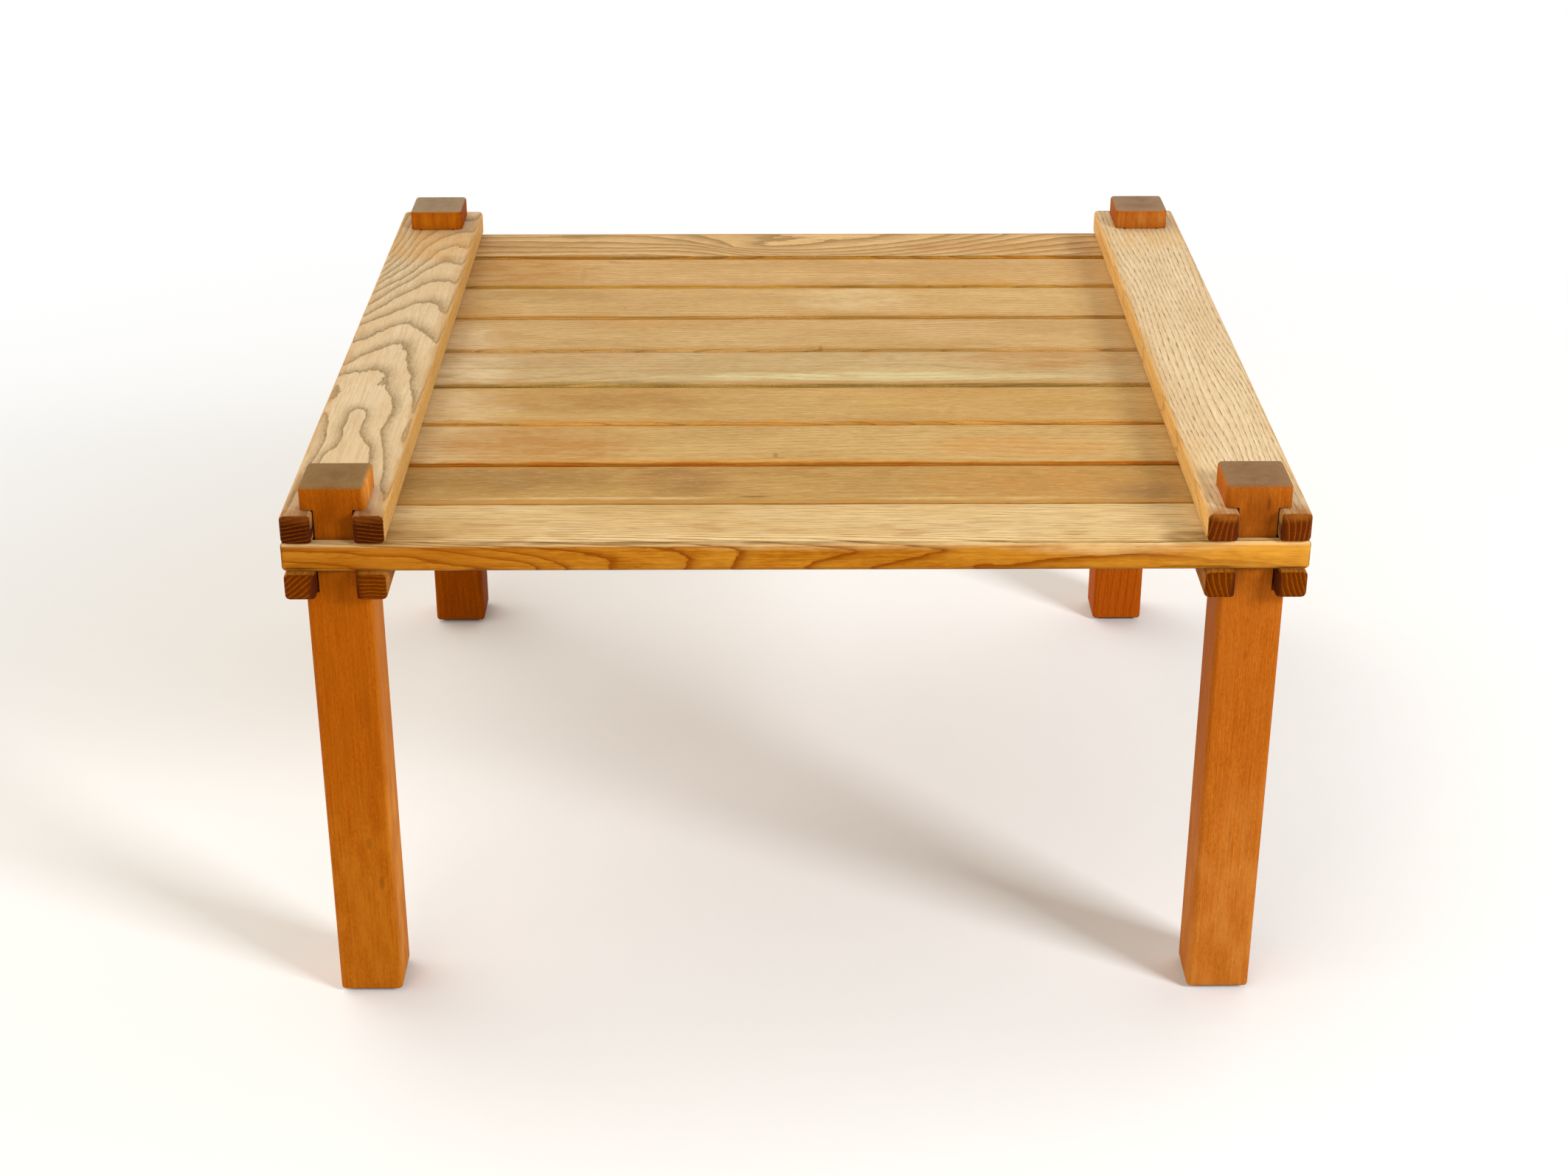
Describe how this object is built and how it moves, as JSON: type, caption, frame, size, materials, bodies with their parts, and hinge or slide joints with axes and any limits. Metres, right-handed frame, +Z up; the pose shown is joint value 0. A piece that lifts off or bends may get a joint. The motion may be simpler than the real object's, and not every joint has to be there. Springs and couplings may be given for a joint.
{
  "type": "low slatted table",
  "caption": "Low square coffee table of solid wood: cross planks between forked side boards and rails, locked by notched square legs.",
  "frame": {"origin": "on the floor under the middle of the table", "axes": "+Z up, +X along the planks to the right as the picture shows the table, +Y along the side boards to the back"},
  "size_m": [0.8, 0.7848, 0.466],
  "materials": {
    "top_planks": "satin",
    "side_boards": "satin",
    "legs": "satin",
    "tenons": "matte",
    "foot_pads": "matte"
  },
  "bodies": {
    "slatted_top": {"plank_2": "top_planks", "plank_3": "top_planks", "plank_4": "top_planks", "plank_5": "top_planks", "plank_6": "top_planks", "plank_7": "top_planks", "plank_8": "top_planks", "upper_board_left": "side_boards", "lower_rail_left": "side_boards", "tenons_left": "tenons", "upper_board_right": "side_boards", "lower_rail_right": "side_boards", "tenons_right": "tenons"},
    "front_end": {"front_plank": "top_planks", "leg_front_left": "legs", "foot_pad_front_left": "foot_pads", "leg_front_right": "legs", "foot_pad_front_right": "foot_pads"},
    "rear_end": {"rear_plank": "top_planks", "leg_rear_left": "legs", "foot_pad_rear_left": "foot_pads", "leg_rear_right": "legs", "foot_pad_rear_right": "foot_pads"}
  },
  "joints": [
    {"name": "front_end_slide", "type": "slide", "parent": "slatted_top", "child": "front_end", "axis": [0, -1, 0], "range_m": [0, 0.07]},
    {"name": "rear_end_slide", "type": "slide", "parent": "slatted_top", "child": "rear_end", "axis": [0, 1, 0], "range_m": [0, 0.07]}
  ]
}
